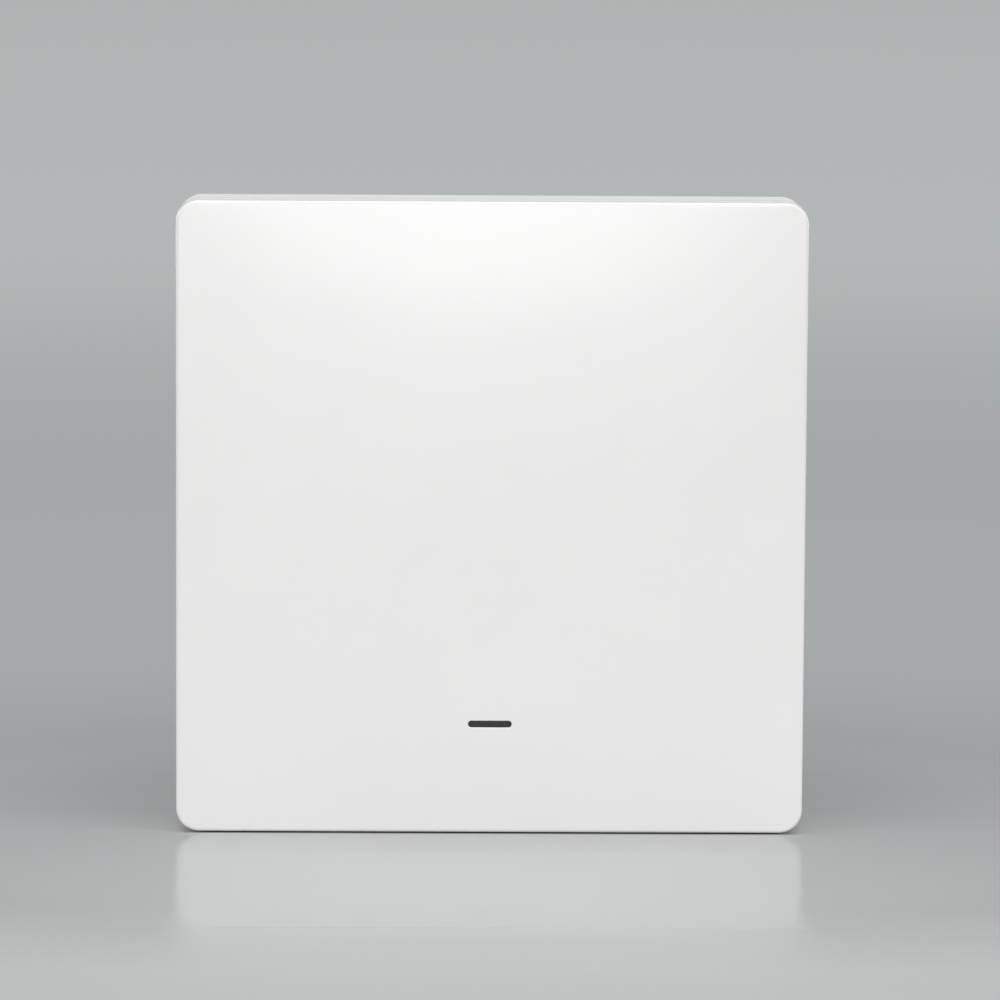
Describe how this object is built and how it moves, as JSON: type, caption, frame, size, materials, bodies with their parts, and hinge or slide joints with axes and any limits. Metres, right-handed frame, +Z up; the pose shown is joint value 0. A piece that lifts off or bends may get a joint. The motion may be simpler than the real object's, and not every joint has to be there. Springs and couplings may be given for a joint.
{
  "type": "wireless remote wall switch",
  "caption": "Square battery wall switch: one domed rocker key with a slot indicator over a housing on an adhesive or screwed wall plate.",
  "frame": {"origin": "centre of the adhesive pad's wall face", "axes": "+X right as seen from the room, +Y into the wall, +Z up; the key faces -Y"},
  "size_m": [0.0852, 0.015, 0.086],
  "materials": {
    "key_plastic": "satin white moulding",
    "smoked_lens": "smoked, polished",
    "housing_plastic": "fine satin white moulding",
    "clear_plastic": "clear, polished",
    "silicone": "translucent silicone",
    "board_laminate": "solder mask over laminate",
    "zinc_steel": "zinc plated",
    "cell_steel": "nickel plated, turned grain",
    "spring_metal": "nickel plated spring sheet",
    "led_resin": "clear resin",
    "black_epoxy": "moulded epoxy",
    "crystal_can": "metal lid on ceramic",
    "ceramic": "glazed ceramic",
    "chip_ceramic": "ceramic with tinned ends",
    "switch_nylon": "moulded nylon",
    "cover_metal": "tinned sheet",
    "plunger_plastic": "moulded acetal",
    "terminal_tin": "tinned",
    "plate_plastic": "matte white moulding",
    "foam_tape": "foam tape under a release liner"
  },
  "bodies": {
    "housing": {"housing": "housing_plastic", "light_pipe": "clear_plastic", "bumpers": "silicone", "circuit_board": "board_laminate", "board_screws": "zinc_steel", "coin_cell": "cell_steel", "battery_clip": "spring_metal", "negative_contact": "spring_metal", "status_led": "led_resin", "radio_chip": "black_epoxy", "crystal": "crystal_can", "chip_antenna": "ceramic", "chip_components": "chip_ceramic", "switch_base_left": "switch_nylon", "switch_cover_left": "cover_metal", "switch_dome_left": "spring_metal", "switch_terminals_left": "terminal_tin", "switch_base_right": "switch_nylon", "switch_cover_right": "cover_metal", "switch_dome_right": "spring_metal", "switch_terminals_right": "terminal_tin"},
    "rocker_key": {"rocker_key": "key_plastic", "light_window": "smoked_lens"},
    "plunger_left": {"switch_plunger_left": "plunger_plastic"},
    "plunger_right": {"switch_plunger_right": "plunger_plastic"},
    "wall_plate": {"wall_plate": "plate_plastic", "adhesive_pad": "foam_tape"}
  },
  "joints": [
    {"name": "rocker_hinge", "type": "hinge", "parent": "housing", "child": "rocker_key", "pos_m": [0, -0.011, 0.035], "axis": [1, 0, 0], "range_deg": [0, 0.6], "stiffness_Nm_per_rad": 2, "springref_deg": -2.86},
    {"name": "plunger_left_slide", "type": "slide", "parent": "housing", "child": "plunger_left", "axis": [0, 1, 0], "range_m": [0, 0.00042]},
    {"name": "plunger_right_slide", "type": "slide", "parent": "housing", "child": "plunger_right", "axis": [0, 1, 0], "range_m": [0, 0.00042]},
    {"name": "wall_plate_slide", "type": "slide", "parent": "housing", "child": "wall_plate", "axis": [0, 1, 0], "range_m": [0, 0.02]}
  ],
  "couplings": [
    {"joint": "plunger_left_slide", "follows": "rocker_hinge", "m_per_rad": 0.04},
    {"joint": "plunger_right_slide", "follows": "rocker_hinge", "m_per_rad": 0.04}
  ]
}
